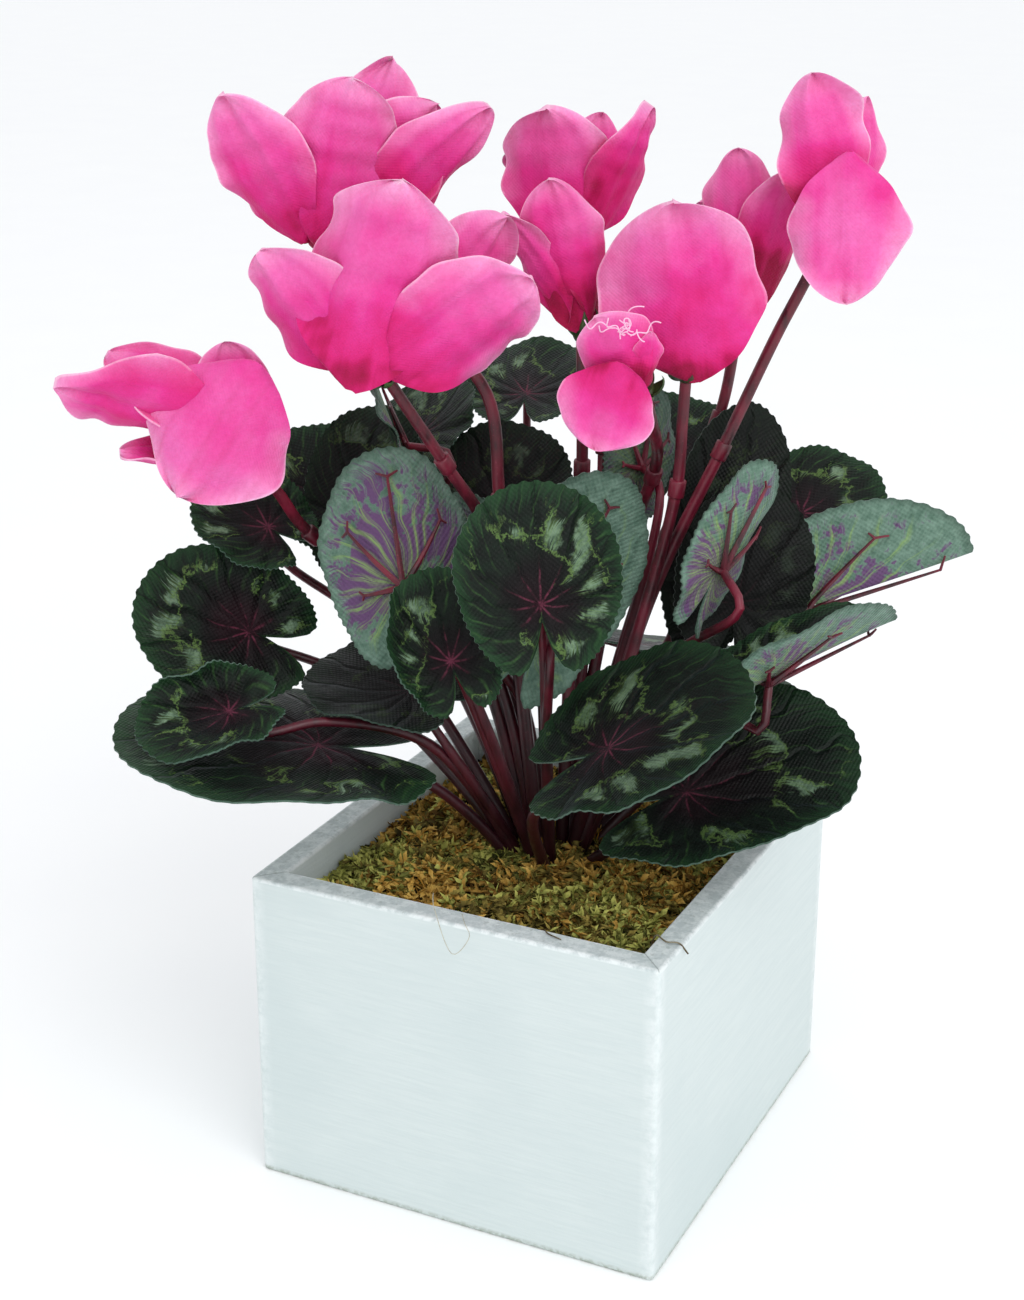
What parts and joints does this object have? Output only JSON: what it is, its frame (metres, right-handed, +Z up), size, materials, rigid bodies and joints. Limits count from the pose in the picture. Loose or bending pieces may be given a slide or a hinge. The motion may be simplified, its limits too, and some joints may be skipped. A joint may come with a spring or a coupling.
{
  "type": "artificial potted cyclamen",
  "caption": "Silk cyclamen with heart-shaped leaves and swept-back petals, standing in foam under dried moss in a square painted wooden box.",
  "frame": {"origin": "centre of the planter's underside", "axes": "+Z up, -Y towards the planter's narrower front wall, +X towards its right-hand wall"},
  "size_m": [0.197, 0.1883, 0.3031],
  "materials": {
    "planter_paint": "painted bluish white",
    "foam": "matt",
    "moss": "dry and fibrous",
    "stem": "satin",
    "leaf": "printed cloth",
    "petal": "dyed cloth",
    "sepal": "satin"
  },
  "bodies": {
    "root": {"planter_wall_front": "planter_paint", "planter_wall_right": "planter_paint", "planter_wall_back": "planter_paint", "planter_wall_left": "planter_paint", "planter_base": "planter_paint", "foam_block": "foam", "moss_layer": "moss", "stem_bush": "stem", "leaf_01": "leaf", "leaf_02": "leaf", "leaf_03": "leaf", "leaf_04": "leaf", "leaf_05": "leaf", "leaf_06": "leaf", "leaf_07": "leaf", "leaf_08": "leaf", "leaf_09": "leaf", "leaf_10": "leaf", "leaf_11": "leaf", "leaf_12": "leaf", "leaf_13": "leaf", "leaf_14": "leaf", "leaf_15": "leaf", "leaf_16": "leaf", "leaf_17": "leaf", "leaf_18": "leaf", "leaf_19": "leaf", "leaf_20": "leaf", "leaf_21": "leaf", "leaf_22": "leaf", "leaf_23": "leaf", "leaf_24": "leaf", "leaf_25": "leaf", "leaf_26": "leaf", "leaf_27": "leaf", "leaf_28": "leaf", "leaf_29": "leaf", "bloom_1_petals": "petal", "bloom_1_sepals": "sepal", "bloom_2_petals": "petal", "bloom_2_sepals": "sepal", "bloom_3_petals": "petal", "bloom_3_sepals": "sepal", "bloom_4_petals": "petal", "bloom_4_sepals": "sepal", "bloom_5_petals": "petal", "bloom_5_sepals": "sepal", "bloom_6_petals": "petal", "bloom_6_sepals": "sepal", "bloom_7_petals": "petal", "bloom_7_sepals": "sepal", "bloom_8_petals": "petal", "bloom_8_sepals": "sepal", "bloom_9_petals": "petal", "bloom_9_sepals": "sepal"}
  },
  "joints": []
}
